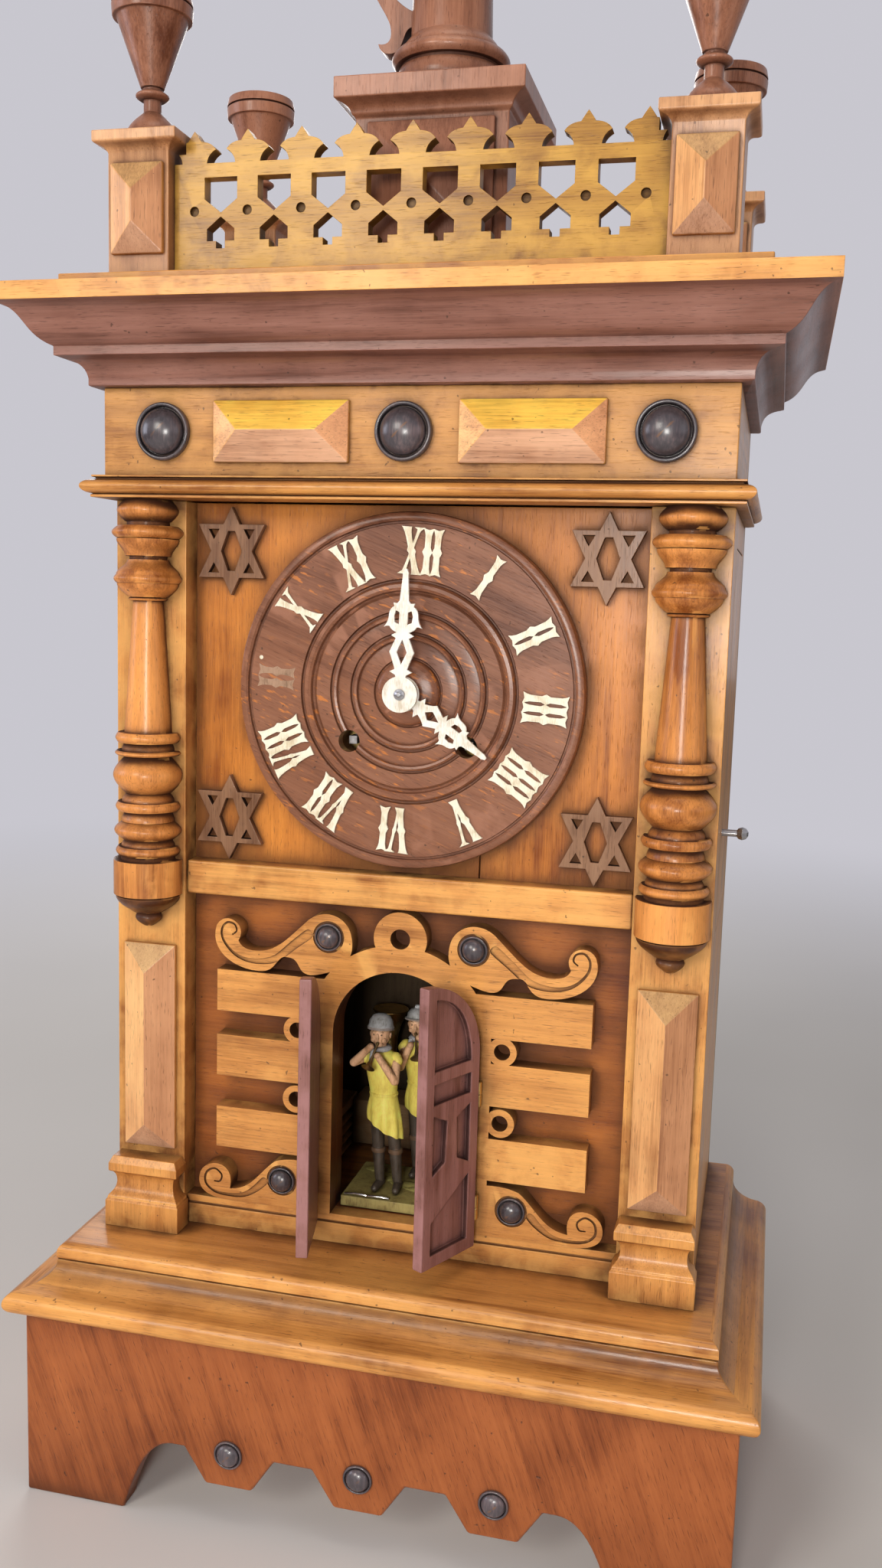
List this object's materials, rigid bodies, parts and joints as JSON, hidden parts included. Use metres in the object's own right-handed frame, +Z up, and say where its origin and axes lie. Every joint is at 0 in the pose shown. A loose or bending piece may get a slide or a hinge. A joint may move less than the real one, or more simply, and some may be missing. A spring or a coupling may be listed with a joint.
{
  "type": "trumpeter clock",
  "caption": "Tall walnut mantel clock with turned columns, a round dial, and an arched doorway whose leaves open on trumpeter figures.",
  "frame": {"origin": "centre of the bounding box at floor level, under the plinth", "axes": "+Z up, -Y towards the viewer of the dial, +X to the right of the dial as seen from the front"},
  "size_m": [0.416, 0.2496, 0.893],
  "materials": {
    "walnut": "worn satin varnish",
    "dark_walnut": "worn dark varnish",
    "dial_wood": "dull turned wood",
    "door_wood": "worn dark varnish",
    "ebonised": "dark polish",
    "bone": "polished bone",
    "brass": "aged",
    "steel": "dull",
    "pine": "bare",
    "leather": "thin bellows leather",
    "painted_wood": "old paint",
    "olive_paint": "old paint"
  },
  "bodies": {
    "case": {"base_moulding": "walnut", "base_step": "walnut", "left_side": "walnut", "right_side": "walnut", "left_stile": "walnut", "right_stile": "walnut", "left_column": "walnut", "right_column": "walnut", "dial_panel": "walnut", "lower_panel": "walnut", "mid_rail": "walnut", "bottom_rail": "walnut", "arch_fret": "walnut", "astragal": "walnut", "frieze": "walnut", "gallery_floor": "walnut", "balustrade": "walnut", "front_left_pedestal": "walnut", "front_right_pedestal": "walnut", "rear_left_pedestal": "walnut", "rear_right_pedestal": "walnut", "plinth_front": "dark_walnut", "plinth_left": "dark_walnut", "plinth_right": "dark_walnut", "cornice": "dark_walnut", "central_pedestal": "dark_walnut", "tankard": "dark_walnut", "front_left_finial": "dark_walnut", "front_right_finial": "dark_walnut", "rear_left_finial": "dark_walnut", "rear_right_finial": "dark_walnut", "dial": "dial_wood", "frieze_boss_left": "ebonised", "frieze_boss_centre": "ebonised", "frieze_boss_right": "ebonised", "movement_front_plate": "brass", "movement_back_plate": "brass", "trumpet_chest": "brass", "back_board": "pine", "movement_shelf": "pine", "bellows": "leather", "left_trumpeter": "painted_wood", "right_trumpeter": "painted_wood", "figure_platform": "olive_paint"},
    "minute": {"minute_hand": "bone", "hand_nut": "steel", "centre_arbor": "steel"},
    "hour": {"hour_hand": "bone"},
    "going_wheel": {"going_great_wheel": "brass"},
    "going_winding": {"going_winding_arbor": "steel"},
    "music_winding": {"music_winding_arbor": "steel"},
    "music_wheel": {"music_great_wheel": "brass"},
    "pin_barrel": {"pin_barrel": "pine"},
    "fly": {"fly": "brass"},
    "pendulum": {"pendulum": "brass"},
    "left_leaf": {"left_door": "door_wood"},
    "right_leaf": {"right_door": "door_wood"},
    "side_door": {"side_door": "walnut"},
    "catch": {"side_door_catch": "steel"},
    "bellows_top": {"bellows_board": "pine"}
  },
  "joints": [
    {"name": "going_drive", "type": "hinge", "parent": "case", "child": "going_wheel", "pos_m": [0.0325, 0.03, 0.4294], "axis": [0, -1, 0], "continuous": true},
    {"name": "minute_turn", "type": "hinge", "parent": "case", "child": "minute", "pos_m": [0, -0.07, 0.457], "axis": [0, 1, 0], "continuous": true},
    {"name": "hour_turn", "type": "hinge", "parent": "case", "child": "hour", "pos_m": [0, -0.066, 0.457], "axis": [0, 1, 0], "continuous": true},
    {"name": "going_winding_turn", "type": "hinge", "parent": "case", "child": "going_winding", "pos_m": [0.0325, -0.04, 0.4294], "axis": [0, 1, 0], "continuous": true},
    {"name": "music_winding_turn", "type": "hinge", "parent": "case", "child": "music_winding", "pos_m": [-0.0325, -0.04, 0.4294], "axis": [0, 1, 0], "continuous": true},
    {"name": "pin_barrel_turn", "type": "hinge", "parent": "case", "child": "pin_barrel", "pos_m": [0, 0.082, 0.422], "axis": [1, 0, 0], "continuous": true},
    {"name": "music_drive", "type": "hinge", "parent": "case", "child": "music_wheel", "pos_m": [-0.0325, 0.022, 0.4294], "axis": [0, 1, 0], "continuous": true},
    {"name": "fly_turn", "type": "hinge", "parent": "case", "child": "fly", "pos_m": [0, 0.009, 0.497], "axis": [0, 1, 0], "continuous": true},
    {"name": "pendulum_swing", "type": "hinge", "parent": "case", "child": "pendulum", "pos_m": [0, 0.058, 0.508], "axis": [0, 1, 0], "range_deg": [-4, 4]},
    {"name": "left_leaf_swing", "type": "hinge", "parent": "case", "child": "left_leaf", "pos_m": [-0.0465, -0.0598, 0.23], "axis": [0, 0, 1], "range_deg": [0, 78]},
    {"name": "right_leaf_swing", "type": "hinge", "parent": "case", "child": "right_leaf", "pos_m": [0.0465, -0.0598, 0.23], "axis": [0, 0, -1], "range_deg": [0, 63]},
    {"name": "side_door_swing", "type": "hinge", "parent": "case", "child": "side_door", "pos_m": [0.166, 0.0935, 0.434], "axis": [0, 0, 1], "range_deg": [0, 100]},
    {"name": "catch_turn", "type": "hinge", "parent": "side_door", "child": "catch", "pos_m": [0.16, 0.0022, 0.384], "axis": [1, 0, 0], "range_deg": [0, 90]},
    {"name": "bellows_lift", "type": "hinge", "parent": "case", "child": "bellows_top", "pos_m": [-0.1107, 0.094, 0.1696], "axis": [-1, 0, 0], "range_deg": [0, 8]}
  ],
  "couplings": [
    {"joint": "minute_turn", "follows": "going_drive", "ratio": 6},
    {"joint": "hour_turn", "follows": "going_drive", "ratio": 0.5},
    {"joint": "fly_turn", "follows": "pin_barrel_turn", "ratio": 8},
    {"joint": "music_drive", "follows": "pin_barrel_turn", "ratio": 0.5},
    {"joint": "right_leaf_swing", "follows": "left_leaf_swing", "ratio": 0.8076}
  ]
}
